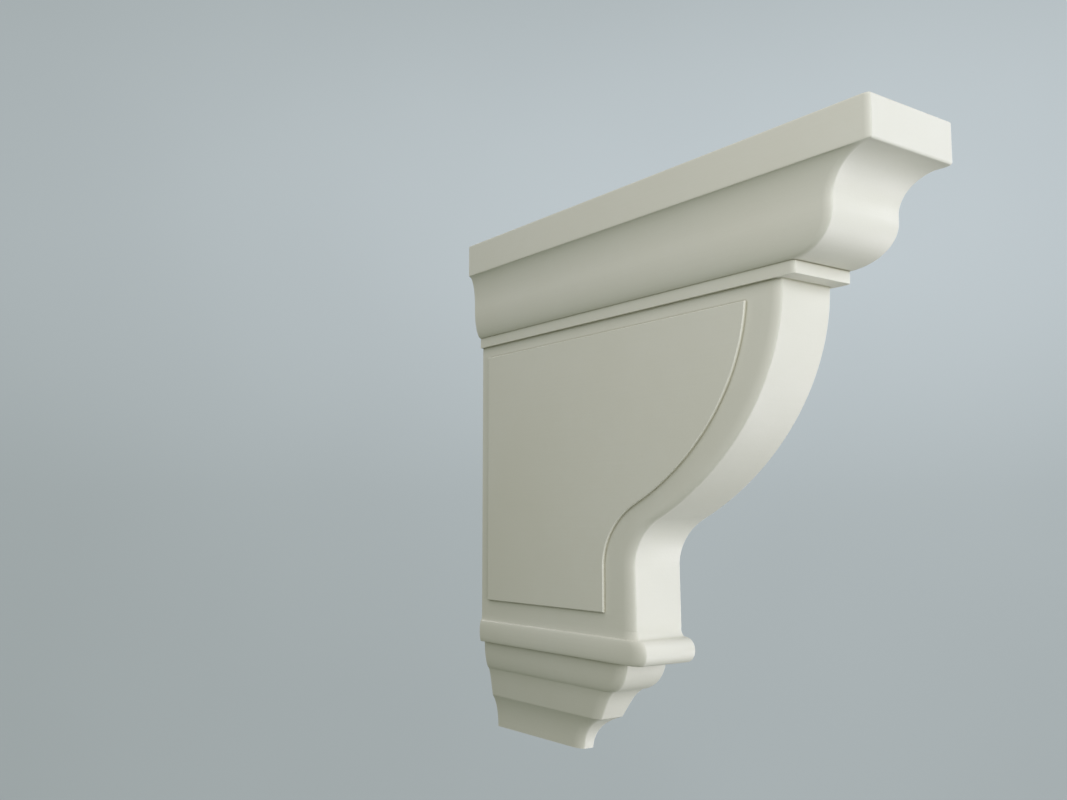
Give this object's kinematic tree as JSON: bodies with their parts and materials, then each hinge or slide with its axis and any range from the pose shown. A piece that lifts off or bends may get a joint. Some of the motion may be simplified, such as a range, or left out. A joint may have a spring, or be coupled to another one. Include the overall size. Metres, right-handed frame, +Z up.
{
  "type": "corbel",
  "caption": "Deep, narrow wall corbel with a slab and cyma crown, a belly-fronted body with a raised flank panel, a half-round nosing and a stepped moulded drop.",
  "frame": {"origin": "centre of the flat back face, half way up the corbel, where it is fixed to the wall", "axes": "+Y out of the back into the wall, -Y out into the room along the corbel's depth, X across its width, +Z up"},
  "size_m": [0.0882, 0.4579, 0.457],
  "materials": {
    "paint": "smooth semi-matte off-white paint over moulded rigid polyurethane"
  },
  "bodies": {
    "root": {"corbel": "paint"}
  },
  "joints": []
}
